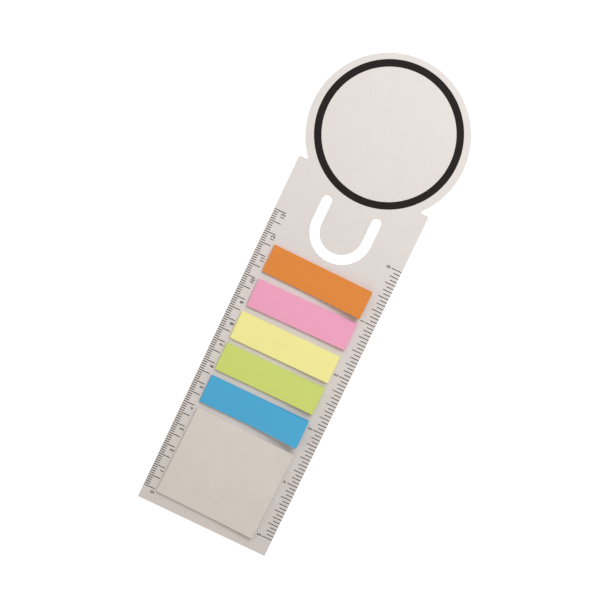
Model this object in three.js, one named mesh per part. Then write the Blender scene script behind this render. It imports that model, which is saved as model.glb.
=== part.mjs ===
// A bookmark ruler of recycled card that carries five pads of sticky index tabs and a pad of
// sticky notes. The card is die-cut in one piece, with a round head and a U-shaped slot that
// frees a tongue to clip over a page. Millimetres, +Z up, the card lying on its back.
import * as THREE from "three";

// Sheets of the pads
const sheetThickness = 0.05;
const sheetsPerPad = 25;
const padLength = 45.3;
const glueLength = 14;

// Places on the card, from its bottom edge up: the note pad, the column of tab pads, then the
// slot, with bare card between them and above the slot.
const bottomMargin = 5.25;
const noteHeight = 40.3;
const noteGap = 3.1;
const tabWidth = 12.3;
const tabGap = 3;
const slotGap = 3.2;
const shoulderMargin = 9.9;
const padColumnOffset = -0.7;

// Card, with a band beside the pads for the printed scale on each long edge
const cardThickness = 0.6;
const scaleBand = 7.25;
const headOverhang = 4.45;
const shoulderWidth = 4.3;
const notchRadius = 0.5;

// U-shaped slot around the clip tongue
const slotWidth = 4.2;
const tongueWidth = 18.6;
const slotLegLength = 9.6;

// Ring printed on the head
const ringMargin = 3.25;
const ringLineWidth = 3.1;
const ringRise = 0.65;
const inkThickness = 0.05;

// Faces of each round stretch
const headSegments = 120;
const slotSegments = 28;
const slotEndSegments = 12;
const notchSegments = 6;
const liftSegments = 12;

// How far the free end of each pad's top sheet stands up from the rest of it
const blueLift = 2.7;
const greenLift = 1.1;
const yellowLift = 0.5;
const pinkLift = 0.5;
const orangeLift = 2.4;
const noteLift = 0.8;

// Each pad's colour, its lift, and how it was stuck on: its shift along and up the card
// in mm, and its turn in degrees.
const tabPads = [
  { name: "tab_pad_blue", colour: 0x4ba5d0, lift: blueLift, along: -0.2, up: 0, turn: 0 },
  { name: "tab_pad_green", colour: 0xc8d773, lift: greenLift, along: -0.1, up: 0.2, turn: 0.3 },
  { name: "tab_pad_yellow", colour: 0xf0ea9b, lift: yellowLift, along: -0.1, up: -0.3, turn: 0.4 },
  { name: "tab_pad_pink", colour: 0xf0a2c0, lift: pinkLift, along: 0.4, up: -0.1, turn: 0.9 },
  { name: "tab_pad_orange", colour: 0xe08a3e, lift: orangeLift, along: 0.2, up: -0.1, turn: -0.5 },
];
const notePad = { name: "note_pad", colour: 0xd3cabd, lift: noteLift, along: 0, up: 0, turn: -0.9 };

const rightAngle = Math.PI / 2;
const padThickness = sheetsPerPad * sheetThickness;
const noteCentre = bottomMargin + noteHeight / 2;
const tabPitch = tabWidth + tabGap;
const lowestTabCentre = bottomMargin + noteHeight + noteGap + tabWidth / 2;
const tabColumnTop = lowestTabCentre + (tabPads.length - 1) * tabPitch + tabWidth / 2;
const tongueRadius = tongueWidth / 2;
const slotTurnRadius = tongueRadius + slotWidth;
const slotTurnHeight = tabColumnTop + slotGap + slotTurnRadius;
const slotEndHeight = slotTurnHeight + slotLegLength;
const shoulderHeight = slotEndHeight + slotWidth / 2 + shoulderMargin;
const halfBody = padLength / 2 + scaleBand;
const halfNeck = halfBody - shoulderWidth;
const headRadius = halfBody + headOverhang;
const headCentreHeight = shoulderHeight + Math.sqrt(headRadius ** 2 - halfNeck ** 2);
const overallLength = headCentreHeight + headRadius;

function arcPoints(centreX, centreY, radius, startAngle, endAngle, segments) {
  const points = [];
  for (let step = 0; step <= segments; step += 1) {
    const angle = startAngle + ((endAngle - startAngle) * step) / segments;
    const x = centreX + radius * Math.cos(angle);
    const y = centreY + radius * Math.sin(angle);
    points.push(new THREE.Vector2(x, y));
  }
  return points;
}

function mirrored(points) {
  return points.map((point) => new THREE.Vector2(-point.x, point.y)).reverse();
}

// Straight body, square shoulders, and the round head, with a small radius in each notch
// where the head's edge meets a shoulder.
function cardOutline() {
  const notchY = shoulderHeight + notchRadius;
  const drop = headCentreHeight - notchY;
  const notchX = Math.sqrt((headRadius + notchRadius) ** 2 - drop ** 2);
  const towardsHead = Math.atan2(drop, -notchX);
  const headStart = towardsHead - Math.PI;
  const rightSide = [
    new THREE.Vector2(halfBody, 0),
    new THREE.Vector2(halfBody, shoulderHeight),
    ...arcPoints(notchX, notchY, notchRadius, 3 * rightAngle, towardsHead, notchSegments),
  ];
  const head = arcPoints(
    0, headCentreHeight, headRadius, headStart, Math.PI - headStart, headSegments,
  );
  return [...rightSide, ...head.slice(1, -1), ...mirrored(rightSide)];
}

// The slot's outer wall, its two round ends, and its inner wall, which is the tongue's edge.
function slotOutline() {
  const legX = tongueRadius + slotWidth / 2;
  const endRadius = slotWidth / 2;
  return [
    ...arcPoints(0, slotTurnHeight, slotTurnRadius, Math.PI, 2 * Math.PI, slotSegments),
    ...arcPoints(legX, slotEndHeight, endRadius, 0, Math.PI, slotEndSegments),
    ...arcPoints(0, slotTurnHeight, tongueRadius, 0, -Math.PI, slotSegments),
    ...arcPoints(-legX, slotEndHeight, endRadius, 0, Math.PI, slotEndSegments),
  ];
}

function paper(colour, roughness) {
  return new THREE.MeshStandardMaterial({ color: colour, roughness, metalness: 0 });
}

function namedMesh(name, geometry, material) {
  const mesh = new THREE.Mesh(geometry, material);
  mesh.name = name;
  return mesh;
}

function makeCard() {
  const outline = new THREE.Shape(cardOutline());
  outline.holes.push(new THREE.Path(slotOutline()));
  const geometry = new THREE.ExtrudeGeometry(outline, {
    depth: cardThickness,
    bevelEnabled: false,
  });
  return namedMesh("ruler_card", geometry, paper(0xddd6cf, 0.9));
}

// A film of ink on the head, a little higher than the head's centre.
function makeRing() {
  const outerRadius = headRadius - ringMargin;
  const innerRadius = outerRadius - ringLineWidth;
  const outer = arcPoints(0, 0, outerRadius, 0, 2 * Math.PI, headSegments);
  const inner = arcPoints(0, 0, innerRadius, 0, 2 * Math.PI, headSegments);
  const outline = new THREE.Shape(outer.slice(0, -1));
  outline.holes.push(new THREE.Path(inner.slice(0, -1)));
  const geometry = new THREE.ExtrudeGeometry(outline, {
    depth: inkThickness,
    bevelEnabled: false,
  });
  geometry.translate(0, headCentreHeight + ringRise, cardThickness);
  return namedMesh("head_ring_print", geometry, paper(0x1e1a18, 0.6));
}

// A pad lies flat on the card. Its sheets are glued together at their left end, and from
// there to the free end on the right they fan apart, so that the top sheet rises.
function padSide(lift) {
  const left = -padLength / 2;
  const right = padLength / 2;
  const free = padLength - glueLength;
  const points = [
    new THREE.Vector2(left, 0),
    new THREE.Vector2(right, 0),
  ];
  for (let step = liftSegments; step >= 0; step -= 1) {
    const share = step / liftSegments;
    const x = left + glueLength + free * share;
    points.push(new THREE.Vector2(x, padThickness + lift * share ** 2));
  }
  points.push(new THREE.Vector2(left, padThickness));
  return points;
}

function makePad(pad, width, centreY) {
  const geometry = new THREE.ExtrudeGeometry(new THREE.Shape(padSide(pad.lift)), {
    depth: width,
    bevelEnabled: false,
  });
  geometry.translate(0, 0, -width / 2);
  geometry.rotateX(rightAngle);
  geometry.translate(0, 0, cardThickness);
  const mesh = namedMesh(pad.name, geometry, paper(pad.colour, 0.85));
  mesh.position.set(padColumnOffset + pad.along, centreY + pad.up, 0);
  mesh.rotation.z = THREE.MathUtils.degToRad(pad.turn);
  return mesh;
}

const bookmark = new THREE.Group();
bookmark.position.y = -overallLength / 2;
bookmark.add(makeCard(), makeRing());
tabPads.forEach((pad, row) => {
  bookmark.add(makePad(pad, tabWidth, lowestTabCentre + row * tabPitch));
});
bookmark.add(makePad(notePad, noteHeight, noteCentre));

export default bookmark;
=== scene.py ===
# A bookmark ruler of recycled card that carries five pads of sticky index tabs and a pad of
# sticky notes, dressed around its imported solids. Metres, the card lying on its back, with +X
# across it towards the inch scale and +Y along it towards the round head.
import math

import bmesh
import bpy
import numpy as np
from mathutils import Matrix, Vector


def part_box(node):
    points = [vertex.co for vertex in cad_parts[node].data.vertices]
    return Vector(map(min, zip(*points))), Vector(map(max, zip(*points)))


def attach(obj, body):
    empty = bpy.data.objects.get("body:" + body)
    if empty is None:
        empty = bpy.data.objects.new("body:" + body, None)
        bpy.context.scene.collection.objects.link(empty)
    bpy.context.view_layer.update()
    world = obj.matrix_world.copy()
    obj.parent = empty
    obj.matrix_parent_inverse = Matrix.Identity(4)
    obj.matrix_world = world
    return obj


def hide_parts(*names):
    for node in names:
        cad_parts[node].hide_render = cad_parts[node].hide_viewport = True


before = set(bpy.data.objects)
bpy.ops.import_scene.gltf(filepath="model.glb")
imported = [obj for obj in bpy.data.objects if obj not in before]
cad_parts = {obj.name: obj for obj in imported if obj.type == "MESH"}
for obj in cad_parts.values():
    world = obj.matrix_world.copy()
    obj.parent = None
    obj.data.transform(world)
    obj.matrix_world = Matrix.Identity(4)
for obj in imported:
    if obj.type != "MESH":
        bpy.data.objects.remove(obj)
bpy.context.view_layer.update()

# Camera
# The view is from almost straight above, 0.7 m up over the head, through a long lens, with
# the card turned so that its head points to the upper right of the picture.
camera_place = Vector((-0.01523, 0.07424, 0.70988))
camera_target = Vector((-0.00365, -0.00309, 0.0006))
camera_turn = math.radians(25.636)
camera_lens = 102
camera_film = 36
camera_reach = 20

camera_back = (camera_place - camera_target).normalized()
picture_right = Vector((math.cos(camera_turn), math.sin(camera_turn), 0))
camera_up = camera_back.cross(picture_right).normalized()
camera_right = camera_up.cross(camera_back)
camera_data = bpy.data.cameras.new("camera")
camera_data.lens = camera_lens
camera_data.sensor_width = camera_film
camera_data.clip_end = camera_reach
camera = bpy.data.objects.new("camera", camera_data)
turned = Matrix((camera_right, camera_up, camera_back)).transposed().to_4x4()
camera.matrix_world = Matrix.Translation(camera_place) @ turned
bpy.context.scene.collection.objects.link(camera)
bpy.context.scene.camera = camera
bpy.context.scene.view_settings.view_transform = "Standard"

# Studio
# A white floor, an even pale surround that fills the shadows, and one large soft lamp
# beyond the head, which falls off along the card and casts the pads' shadows to its foot.
floor_reach = 3.0
floor_white = 0.8
floor_glow = 0.6
surround_shade = (0.592, 0.567, 0.540, 1)
lamp_place = Vector((0.10, 0.40, 0.39))
lamp_target = Vector((0.04, 0.16, 0.0))
lamp_size = 0.42
lamp_power = 0.455
lamp_spread = math.radians(64)
lamp_tint = (0.94, 1.02, 1.11)


def new_material(name):
    material = bpy.data.materials.new(name)
    material.use_nodes = True
    material.node_tree.nodes.clear()
    return material


def add_node(nodes, kind, **settings):
    node = nodes.new(kind)
    for name, value in settings.items():
        setattr(node, name, value)
    return node


def math_step(nodes, links, operation, first, second):
    node = add_node(nodes, "ShaderNodeMath", operation=operation)
    for socket, value in zip(node.inputs, (first, second)):
        if isinstance(value, (int, float)):
            socket.default_value = value
        else:
            links.new(value, socket)
    return node.outputs[0]


def seen_directly(nodes, links):
    """1 where the camera sees a thing, or sees it in a gloss or through a clear body."""
    path = nodes.new("ShaderNodeLightPath")
    either = math_step(nodes, links, "MAXIMUM", path.outputs["Is Camera Ray"],
                       path.outputs["Is Glossy Ray"])
    return math_step(nodes, links, "MAXIMUM", either, path.outputs["Is Transmission Ray"])


def mixed(nodes, links, factor, first, second, blend="MIX"):
    node = add_node(nodes, "ShaderNodeMix", data_type="RGBA", blend_type=blend)
    for name, value in (("Factor", factor), ("A", first), ("B", second)):
        socket = next(s for s in node.inputs if s.name == name and s.enabled)
        if isinstance(value, (int, float, tuple)):
            socket.default_value = value
        else:
            links.new(value, socket)
    return next(s for s in node.outputs if s.enabled)


def studio_floor_material():
    material = new_material("studio_floor")
    nodes, links = material.node_tree.nodes, material.node_tree.links
    matt = nodes.new("ShaderNodeBsdfDiffuse")
    matt.inputs["Color"].default_value = (floor_white, floor_white, floor_white, 1)
    glow = nodes.new("ShaderNodeEmission")
    glow_level = math_step(nodes, links, "MULTIPLY", seen_directly(nodes, links), floor_glow)
    links.new(glow_level, glow.inputs["Strength"])
    both = nodes.new("ShaderNodeAddShader")
    links.new(matt.outputs[0], both.inputs[0])
    links.new(glow.outputs[0], both.inputs[1])
    output = nodes.new("ShaderNodeOutputMaterial")
    links.new(both.outputs[0], output.inputs["Surface"])
    return material


floor_mesh = bpy.data.meshes.new("studio_floor")
floor_corners = [(x, y, 0) for x, y in ((-1, -1), (1, -1), (1, 1), (-1, 1))]
floor_mesh.from_pydata([Vector(c) * floor_reach for c in floor_corners], [], [(0, 1, 2, 3)])
floor_mesh.materials.append(studio_floor_material())
floor = bpy.data.objects.new("studio_floor", floor_mesh)
bpy.context.scene.collection.objects.link(floor)

surround = bpy.data.worlds.new("surround")
surround.use_nodes = True
surround_nodes, surround_links = surround.node_tree.nodes, surround.node_tree.links
surround_seen = seen_directly(surround_nodes, surround_links)
surround_colour = mixed(surround_nodes, surround_links, surround_seen, surround_shade,
                        (1, 1, 1, 1))
surround_links.new(surround_colour, surround_nodes["Background"].inputs["Color"])
bpy.context.scene.world = surround

lamp_data = bpy.data.lights.new("soft_lamp", "AREA")
lamp_data.size = lamp_size
lamp_data.energy = lamp_power
lamp_data.spread = lamp_spread
lamp_data.color = lamp_tint
lamp = bpy.data.objects.new("soft_lamp", lamp_data)
lamp.location = lamp_place
lamp.rotation_mode = "QUATERNION"
lamp.rotation_quaternion = (lamp_target - lamp_place).to_track_quat("-Z", "Y")
bpy.context.scene.collection.objects.link(lamp)

# Card
# One sheet of uncoated recycled board, grey-white with faint flecks and fibres, cut by a
# steel-rule die in one stroke: body, shoulders, round head, and the slot round the tongue.
card_node = "ruler_card"
card_low, card_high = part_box(card_node)
card_top = card_high.z
card_edge_round = 0.00006
card_colour = (0.730, 0.667, 0.627, 1)
card_fleck_colour = (0.36, 0.29, 0.23, 1)
card_cut_colour = (0.60, 0.53, 0.47, 1)
card_grain = {"Clouds": 0.05, "Mottle": 0.08, "Fibres": 0.05, "Flecks": 0.12, "Relief": 0.5}
paper_gloss = 0.25
# Darker level lines on the cut edges: the board's layered fibres, and painted shade between
# the sheets of the pads.
cut_layer_scale = 160
cut_layer_stretch = (1, 1, 45)
cut_line_fibre_and_gap_shade = 0.88


def between(nodes, links, value, low, high):
    """0 below low and 1 above high, with a smooth rise between them."""
    node = add_node(nodes, "ShaderNodeMapRange", interpolation_type="SMOOTHSTEP")
    links.new(value, node.inputs["Value"])
    node.inputs["From Min"].default_value = low
    node.inputs["From Max"].default_value = high
    return node.outputs["Result"]


def noise(nodes, links, place, scale, detail=3.0, stretch=(1, 1, 1), turn=0.0):
    mapping = nodes.new("ShaderNodeMapping")
    mapping.inputs["Rotation"].default_value = (0, 0, math.radians(turn))
    mapping.inputs["Scale"].default_value = stretch
    links.new(place, mapping.inputs["Vector"])
    node = nodes.new("ShaderNodeTexNoise")
    node.inputs["Scale"].default_value = scale
    node.inputs["Detail"].default_value = detail
    links.new(mapping.outputs[0], node.inputs["Vector"])
    return node.outputs["Fac"]


def make_paper_stock():
    """Uncoated paper or board: soft clouds, a fine mottle, short fibres and darker flecks.
    The scales are in cells a metre, and relief_depth is in metres."""
    cloud_scale, mottle_scale, fibre_scale, felt_scale = 130, 1100, 260, 2600
    least_roughness, felt_roughness = 0.8, 0.12
    felt_height, mottle_height, relief_depth = 0.6, 0.8, 0.00004
    spot_core = 0.4
    group = bpy.data.node_groups.new("paper_stock", "ShaderNodeTree")
    face = group.interface
    face.new_socket("Place", in_out="INPUT", socket_type="NodeSocketVector")
    face.new_socket("Colour", in_out="INPUT", socket_type="NodeSocketColor")
    face.new_socket("Fleck Colour", in_out="INPUT", socket_type="NodeSocketColor")
    for name in ("Clouds", "Mottle", "Fibres", "Flecks", "Relief"):
        face.new_socket(name, in_out="INPUT", socket_type="NodeSocketFloat")
    face.new_socket("Colour", in_out="OUTPUT", socket_type="NodeSocketColor")
    face.new_socket("Roughness", in_out="OUTPUT", socket_type="NodeSocketFloat")
    face.new_socket("Normal", in_out="OUTPUT", socket_type="NodeSocketVector")
    nodes, links = group.nodes, group.links
    taken = nodes.new("NodeGroupInput").outputs
    given = nodes.new("NodeGroupOutput").inputs
    place = taken["Place"]

    clouds = noise(nodes, links, place, cloud_scale, 3)
    mottle = noise(nodes, links, place, mottle_scale, 4)
    swing = math_step(nodes, links, "MULTIPLY",
                      math_step(nodes, links, "SUBTRACT", clouds, 0.5), taken["Clouds"])
    speckle = math_step(nodes, links, "MULTIPLY",
                        math_step(nodes, links, "SUBTRACT", mottle, 0.5), taken["Mottle"])
    brightness = math_step(nodes, links, "ADD",
                           math_step(nodes, links, "ADD", swing, speckle), 1.0)
    clouded = add_node(nodes, "ShaderNodeVectorMath", operation="SCALE")
    links.new(taken["Colour"], clouded.inputs[0])
    links.new(brightness, clouded.inputs["Scale"])
    colour = clouded.outputs[0]

    for turn, stretch in ((20, (1, 7, 1)), (-55, (1, 8, 1)), (80, (1, 6, 1))):
        strand = noise(nodes, links, place, fibre_scale, 1.5, stretch, turn)
        strand = between(nodes, links, strand, 0.66, 0.72)
        strand = math_step(nodes, links, "MULTIPLY", strand, taken["Fibres"])
        colour = mixed(nodes, links, strand, colour, taken["Fleck Colour"])

    for scale, rarity, size in ((230, 0.92, 0.26), (420, 0.80, 0.22), (900, 0.72, 0.30)):
        cells = nodes.new("ShaderNodeTexVoronoi")
        cells.inputs["Scale"].default_value = scale
        links.new(place, cells.inputs["Vector"])
        apart = nodes.new("ShaderNodeSeparateColor")
        links.new(cells.outputs["Color"], apart.inputs[0])
        chosen = between(nodes, links, apart.outputs[0], rarity, 1.0)
        spot = between(nodes, links, cells.outputs["Distance"], size, size * spot_core)
        spot = math_step(nodes, links, "MULTIPLY", spot, chosen)
        spot = math_step(nodes, links, "MULTIPLY", spot, taken["Flecks"])
        colour = mixed(nodes, links, spot, colour, taken["Fleck Colour"])
    links.new(colour, given["Colour"])

    felt = noise(nodes, links, place, felt_scale, 5)
    felted = math_step(nodes, links, "MULTIPLY", felt, felt_roughness)
    links.new(math_step(nodes, links, "ADD", felted, least_roughness), given["Roughness"])
    height = math_step(nodes, links, "ADD",
                       math_step(nodes, links, "MULTIPLY", felt, felt_height),
                       math_step(nodes, links, "MULTIPLY", mottle, mottle_height))
    bump = nodes.new("ShaderNodeBump")
    bump.inputs["Distance"].default_value = relief_depth
    links.new(taken["Relief"], bump.inputs["Strength"])
    links.new(height, bump.inputs["Height"])
    links.new(bump.outputs[0], given["Normal"])
    return group


paper_stock = make_paper_stock()


def shaded(colour, share, added=0.0):
    return tuple(min(1.0, share * part + added) for part in colour[:3]) + (1,)


def paper_material(name, colour, fleck_colour, cut_colour, grain):
    """A matt sheet. Upright cut edges show cut_colour instead, in fine darker level lines. On
    board they are its layered fibres, and on a stack of sheets they are painted shade for the
    gaps between the sheets."""
    material = new_material(name)
    nodes, links = material.node_tree.nodes, material.node_tree.links
    place = nodes.new("ShaderNodeTexCoord")
    stock = nodes.new("ShaderNodeGroup")
    stock.node_tree = paper_stock
    links.new(place.outputs["Object"], stock.inputs["Place"])
    stock.inputs["Colour"].default_value = colour
    stock.inputs["Fleck Colour"].default_value = fleck_colour
    for quality, strength in grain.items():
        stock.inputs[quality].default_value = strength
    facing = nodes.new("ShaderNodeNewGeometry")
    apart = nodes.new("ShaderNodeSeparateXYZ")
    links.new(facing.outputs["Normal"], apart.inputs[0])
    upright = math_step(nodes, links, "ABSOLUTE", apart.outputs["Z"], 0)
    upright = between(nodes, links, upright, 0.6, 0.2)
    layers = noise(nodes, links, place.outputs["Object"], cut_layer_scale, 2,
                   cut_layer_stretch)
    layers = between(nodes, links, layers, 0.35, 0.65)
    # The darker lines are painted shade between stacked sheets, and fibre layering on board.
    layered = mixed(nodes, links, layers, shaded(cut_colour, cut_line_fibre_and_gap_shade), cut_colour)
    shown = mixed(nodes, links, upright, stock.outputs["Colour"], layered)
    skin = nodes.new("ShaderNodeBsdfPrincipled")
    skin.inputs["Specular IOR Level"].default_value = paper_gloss
    links.new(shown, skin.inputs["Base Color"])
    links.new(stock.outputs["Roughness"], skin.inputs["Roughness"])
    links.new(stock.outputs["Normal"], skin.inputs["Normal"])
    output = nodes.new("ShaderNodeOutputMaterial")
    links.new(skin.outputs[0], output.inputs["Surface"])
    return material


def link_piece(name, mesh, material, replaced=()):
    """Puts a finished mesh into the scene as a piece that rides on the bookmark."""
    mesh.materials.clear()
    mesh.materials.append(material)
    piece = bpy.data.objects.new(name, mesh)
    bpy.context.scene.collection.objects.link(piece)
    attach(piece, "root")
    if replaced:
        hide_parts(*replaced)
    return piece


def shade_smooth(mesh):
    """Smooth shading round the edges, with the level faces left flat."""
    sharp_angle, level = math.radians(35), 0.9999
    mesh.update()
    mesh.set_sharp_from_angle(angle=sharp_angle)
    for polygon in mesh.polygons:
        polygon.use_smooth = abs(polygon.normal.z) < level


def make_card_mesh():
    """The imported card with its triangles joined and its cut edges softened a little. The
    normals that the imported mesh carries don't fit the softened edges, so they go."""
    flat_angle, corner_angle = math.radians(0.5), math.radians(60)
    shape = bmesh.new()
    shape.from_mesh(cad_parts[card_node].data)
    bmesh.ops.remove_doubles(shape, verts=shape.verts, dist=1e-7)
    bmesh.ops.dissolve_limit(shape, angle_limit=flat_angle, verts=shape.verts,
                             edges=shape.edges)
    rim = [edge for edge in shape.edges
           if len(edge.link_faces) == 2 and edge.calc_face_angle(0) > corner_angle
           and abs(edge.verts[0].co.z - edge.verts[1].co.z) < 1e-6]
    bmesh.ops.bevel(shape, geom=rim, offset=card_edge_round, segments=2, profile=0.5,
                    affect="EDGES")
    mesh = bpy.data.meshes.new("ruler_card_board")
    shape.to_mesh(mesh)
    shape.free()
    carried_normals = mesh.attributes.get("custom_normal")
    if carried_normals:
        mesh.attributes.remove(carried_normals)
    shade_smooth(mesh)
    return mesh


card_board = paper_material("recycled_board", card_colour, card_fleck_colour, card_cut_colour,
                            card_grain)
link_piece("ruler_card_board", make_card_mesh(), card_board, [card_node])

# Ring on the head
# One heavy black line printed round the head, set a little higher than the head itself. The
# ink has sunk into the board, so it is matt and not quite even.
ink_black = (0.0155, 0.0115, 0.0105, 1)
ink_worn = (0.028, 0.022, 0.020, 1)
ring_wear = 0.8
ink_gloss = 0.08
ink_roughness = 0.6


def make_ink_cover():
    """How evenly a printed ink lies: a mask that rises to Wear where the ink is thin."""
    grain_scale, broad_scale = 1500, 160
    grain_share, broad_share = 0.7, 0.3
    group = bpy.data.node_groups.new("ink_cover", "ShaderNodeTree")
    face = group.interface
    face.new_socket("Place", in_out="INPUT", socket_type="NodeSocketVector")
    face.new_socket("Wear", in_out="INPUT", socket_type="NodeSocketFloat")
    face.new_socket("Thin", in_out="OUTPUT", socket_type="NodeSocketFloat")
    nodes, links = group.nodes, group.links
    taken = nodes.new("NodeGroupInput").outputs
    given = nodes.new("NodeGroupOutput").inputs
    grain = noise(nodes, links, taken["Place"], grain_scale, 4)
    broad = noise(nodes, links, taken["Place"], broad_scale, 2)
    both = math_step(nodes, links, "ADD",
                     math_step(nodes, links, "MULTIPLY", grain, grain_share),
                     math_step(nodes, links, "MULTIPLY", broad, broad_share))
    thin = between(nodes, links, both, 0.45, 0.75)
    links.new(math_step(nodes, links, "MULTIPLY", thin, taken["Wear"]), given["Thin"])
    return group


ink_cover = make_ink_cover()


def ink_material(name, full_colour, thin_colour, wear):
    material = new_material(name)
    nodes, links = material.node_tree.nodes, material.node_tree.links
    place = nodes.new("ShaderNodeTexCoord")
    cover = nodes.new("ShaderNodeGroup")
    cover.node_tree = ink_cover
    links.new(place.outputs["Object"], cover.inputs["Place"])
    cover.inputs["Wear"].default_value = wear
    skin = nodes.new("ShaderNodeBsdfPrincipled")
    skin.inputs["Specular IOR Level"].default_value = ink_gloss
    skin.inputs["Roughness"].default_value = ink_roughness
    shown = mixed(nodes, links, cover.outputs["Thin"], full_colour, thin_colour)
    links.new(shown, skin.inputs["Base Color"])
    output = nodes.new("ShaderNodeOutputMaterial")
    links.new(skin.outputs[0], output.inputs["Surface"])
    return material


ring_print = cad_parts["head_ring_print"]
ring_print.data.materials.clear()
ring_print.data.materials.append(ink_material("ring_ink", ink_black, ink_worn, ring_wear))

# Centimetre scale
# Printed in black along the left edge: 13 cm in millimetre ticks, with longer ticks at each
# half and whole centimetre, and a number below each whole one, its top towards the edge.
millimetre = 0.001
ink_height = 0.00001
tick_width = 0.00034
centimetres = 13
scale_foot = card_low.y + 0.00595
tick_outer = -0.0297
short_tick_inner = -0.0276
long_tick_inner = -0.0246
number_height = 0.0017
font_digit_share = 0.72
number_weight = 0.00005
number_base = -0.0244
number_drop = 0.0017
scale_ink_black = (0.020, 0.017, 0.016, 1)
scale_ink_worn = (0.09, 0.078, 0.070, 1)
scale_wear = 0.9


def add_tick(shape, x_outer, x_inner, y):
    """One printed line across the scale, as a flat closed block of ink."""
    low_x, high_x = sorted((x_outer, x_inner))
    corners = [shape.verts.new((x, y + side * tick_width / 2, card_top + rise))
               for rise in (0, ink_height) for x, side in
               ((low_x, -1), (high_x, -1), (high_x, 1), (low_x, 1))]
    for face in ((3, 2, 1, 0), (4, 5, 6, 7), (0, 1, 5, 4), (1, 2, 6, 5), (2, 3, 7, 6),
                 (3, 0, 4, 7)):
        shape.faces.new([corners[i] for i in face])


def add_number(shape, text, x, y, turn):
    """A printed number, its baseline turned by turn degrees and centred on x, y. A 4 keeps
    the font's own weight, because thicker strokes would close its hole."""
    letter = bpy.data.curves.new("number", "FONT")
    letter.body = text
    letter.size = number_height / font_digit_share
    letter.align_x = "CENTER"
    letter.offset = 0 if text == "4" else number_weight
    letter.extrude = ink_height / 2
    drawn = bpy.data.objects.new("number", letter)
    bpy.context.scene.collection.objects.link(drawn)
    mesh = bpy.data.meshes.new_from_object(drawn)
    place = Matrix.Translation((x, y, card_top + ink_height / 2))
    mesh.transform(place @ Matrix.Rotation(math.radians(turn), 4, "Z"))
    shape.from_mesh(mesh)
    bpy.data.objects.remove(drawn)
    bpy.data.meshes.remove(mesh)


def finish_print(name, shape, material):
    bmesh.ops.remove_doubles(shape, verts=shape.verts, dist=1e-8)
    mesh = bpy.data.meshes.new(name)
    shape.to_mesh(mesh)
    shape.free()
    return link_piece(name, mesh, material)


scale_ink = ink_material("scale_ink", scale_ink_black, scale_ink_worn, scale_wear)
centimetre_scale = bmesh.new()
for tick in range(centimetres * 10 + 1):
    inner = long_tick_inner if tick % 5 == 0 else short_tick_inner
    add_tick(centimetre_scale, tick_outer, inner, scale_foot + tick * millimetre)
for whole in range(centimetres + 1):
    number_y = scale_foot + whole * 10 * millimetre - number_drop
    add_number(centimetre_scale, str(whole), number_base, number_y, 90)
finish_print("centimetre_scale", centimetre_scale, scale_ink)

# Inch scale
# Printed in black along the right edge from the top down: 5 in in sixteenths, with longer
# ticks at the eighths and quarters, and a number inward of each whole inch, its top outward.
inch = 0.0254
inches = 5
inch_scale_top = card_low.y + 0.13445
inch_tick_outer = 0.0297
quarter_tick_inner = 0.02515
eighth_tick_inner = 0.0258
sixteenth_tick_inner = 0.0267
inch_number_base = 0.02295

inch_scale = bmesh.new()
for sixteenth in range(inches * 16 + 1):
    inner = sixteenth_tick_inner
    if sixteenth % 2 == 0:
        inner = eighth_tick_inner
    if sixteenth % 4 == 0:
        inner = quarter_tick_inner
    add_tick(inch_scale, inch_tick_outer, inner, inch_scale_top - sixteenth * inch / 16)
for whole in range(inches + 1):
    add_number(inch_scale, str(whole), inch_number_base, inch_scale_top - whole * inch, -90)
finish_print("inch_scale", inch_scale, scale_ink)

# Pads of index tabs
# Each is a stack of dyed paper tabs, cut together and gummed together at the left end, and
# stuck to the card there. The sheets have slipped a little and fan apart at the free end.
sheets = 25
sheet_pitch = 0.00005
sheet_thickness = 0.000047
pad_length = 0.0453
tab_width = 0.0123
glued_share = 0.31
sheet_slip = 0.00004
sheet_turn = math.radians(0.08)
lift_by_depth, lift_by_reach = 1.6, 2
curl_by_depth, curl_by_reach, curl_by_side = 2.2, 2.5, 1.5
tab_steps = (30, 6)
tab_grain = {"Clouds": 0.03, "Mottle": 0.06, "Fibres": 0.08, "Flecks": 0.05, "Relief": 0.35}
tab_fleck_shade = 0.75
# The tabs' cut edges are painted lighter than their faces: a painted highlight for the light
# falling on the stacks' sides.
tab_cut_painted_highlight = 1.25
tab_cut_highlight_lift = 0.03


def sheet_block(lower, upper):
    """Faces of a closed sheet between two grids of points with the same rows and columns."""
    rows, columns = lower.shape[:2]
    points = np.concatenate([lower.reshape(-1, 3), upper.reshape(-1, 3)])
    layer = rows * columns
    index = np.arange(layer).reshape(rows, columns)
    faces = []
    for i in range(rows - 1):
        for j in range(columns - 1):
            square = (index[i, j], index[i + 1, j], index[i + 1, j + 1], index[i, j + 1])
            faces.append(square[::-1])
            faces.append(tuple(corner + layer for corner in square))
    border = [*index[:, 0], *index[-1, 1:], *index[-2::-1, -1], *index[0, -2:0:-1]]
    for here, after in zip(border, border[1:] + border[:1]):
        faces.append((here, after, after + layer, here + layer))
    return points, [tuple(int(corner) for corner in face) for face in faces]


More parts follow.
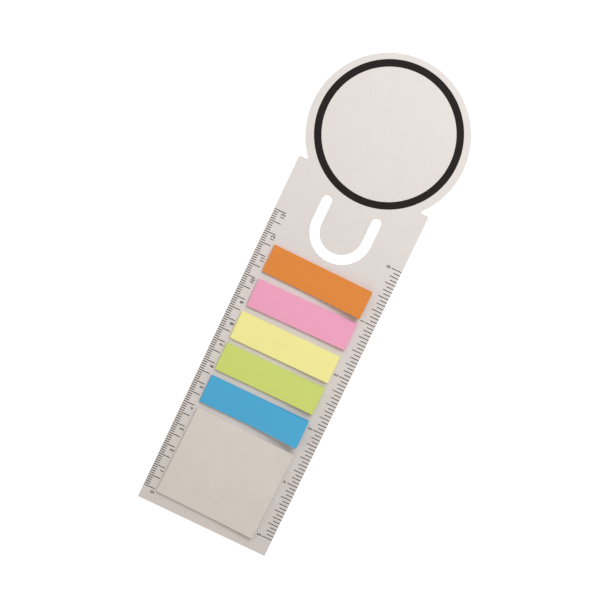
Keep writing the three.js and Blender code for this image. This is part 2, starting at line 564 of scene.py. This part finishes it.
def make_pad_mesh(name, node, width, steps, turn, lift, curl, seed):
    """A stack of thin sheets. lift raises the whole free end of the top sheet, and curl
    raises the free end's lower corner on top of that; the sheets below follow by less."""
    low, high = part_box(node)
    middle = (low + high) / 2
    chance = np.random.default_rng(seed)
    along, across = np.meshgrid(np.linspace(-0.5, 0.5, steps[0] + 1),
                                np.linspace(-0.5, 0.5, steps[1] + 1), indexing="ij")
    freedom = np.clip((along + 0.5 - glued_share) / (1 - glued_share), 0, 1)
    points, faces = [], []
    count = 0
    for sheet in range(sheets):
        depth = sheet / (sheets - 1)
        rise = lift * depth ** lift_by_depth * freedom ** lift_by_reach
        rise = rise + (curl * depth ** curl_by_depth * freedom ** curl_by_reach
                       * (0.5 - across) ** curl_by_side)
        angle = math.radians(turn) + chance.normal(0, sheet_turn)
        x = along * pad_length + chance.normal(0, sheet_slip)
        y = across * width + chance.normal(0, sheet_slip)
        grid = np.stack([middle.x + x * math.cos(angle) - y * math.sin(angle),
                         middle.y + x * math.sin(angle) + y * math.cos(angle),
                         card_top + sheet * sheet_pitch + rise], axis=-1)
        block, block_faces = sheet_block(grid, grid + np.array((0, 0, sheet_thickness)))
        points.extend(block.tolist())
        faces.extend(tuple(corner + count for corner in face) for face in block_faces)
        count += len(block)
    mesh = bpy.data.meshes.new(name)
    mesh.from_pydata(points, [], faces)
    shade_smooth(mesh)
    return mesh


tab_pads = [
    {"hue": "orange", "colour": (0.750, 0.246, 0.047, 1), "turn": -0.5,
     "lift": 0.0020, "curl": 0.0008},
    {"hue": "pink", "colour": (0.886, 0.370, 0.520, 1), "turn": 0.9,
     "lift": 0.0004, "curl": 0.0001},
    {"hue": "yellow", "colour": (0.935, 0.855, 0.327, 1), "turn": 0.4,
     "lift": 0.0004, "curl": 0.0001},
    {"hue": "green", "colour": (0.643, 0.720, 0.179, 1), "turn": 0.3,
     "lift": 0.0010, "curl": 0.0003},
    {"hue": "blue", "colour": (0.081, 0.424, 0.685, 1), "turn": 0.0,
     "lift": 0.0020, "curl": 0.0016},
]
for number, pad in enumerate(tab_pads):
    pad_node = "tab_pad_" + pad["hue"]
    # The cut colour is the dye lightened, a painted highlight on the sheets' edges.
    dyed = paper_material(pad["hue"] + "_tab_paper", pad["colour"],
                          shaded(pad["colour"], tab_fleck_shade),
                          shaded(pad["colour"], tab_cut_painted_highlight, tab_cut_highlight_lift), tab_grain)
    pad_mesh = make_pad_mesh(pad_node + "_sheets", pad_node, tab_width, tab_steps,
                             pad["turn"], pad["lift"], pad["curl"], number)
    link_piece(pad_node + "_sheets", pad_mesh, dyed, [pad_node])

# Pad of notes
# A stack of recycled paper notes with soft brown flecks, gummed at the left edge and stuck
# to the foot of the card, a little turned.
note_height = 0.0403
note_steps = (30, 20)
note_turn = -0.9
note_lift = 0.0007
note_curl = 0.0002
note_seed = 11
note_colour = (0.747, 0.680, 0.612, 1)
note_fleck_colour = (0.36, 0.28, 0.19, 1)
# The notes' cut edges are painted lighter than the sheets' faces: a painted highlight on the
# stack's sides.
note_cut_highlight_colour = (0.88, 0.82, 0.76, 1)
note_grain = {"Clouds": 0.09, "Mottle": 0.08, "Fibres": 0.05, "Flecks": 0.15, "Relief": 0.4}

note_paper = paper_material("recycled_note_paper", note_colour, note_fleck_colour,
                            note_cut_highlight_colour, note_grain)
note_mesh = make_pad_mesh("note_pad_sheets", "note_pad", note_height, note_steps, note_turn,
                          note_lift, note_curl, note_seed)
link_piece("note_pad_sheets", note_mesh, note_paper, ["note_pad"])
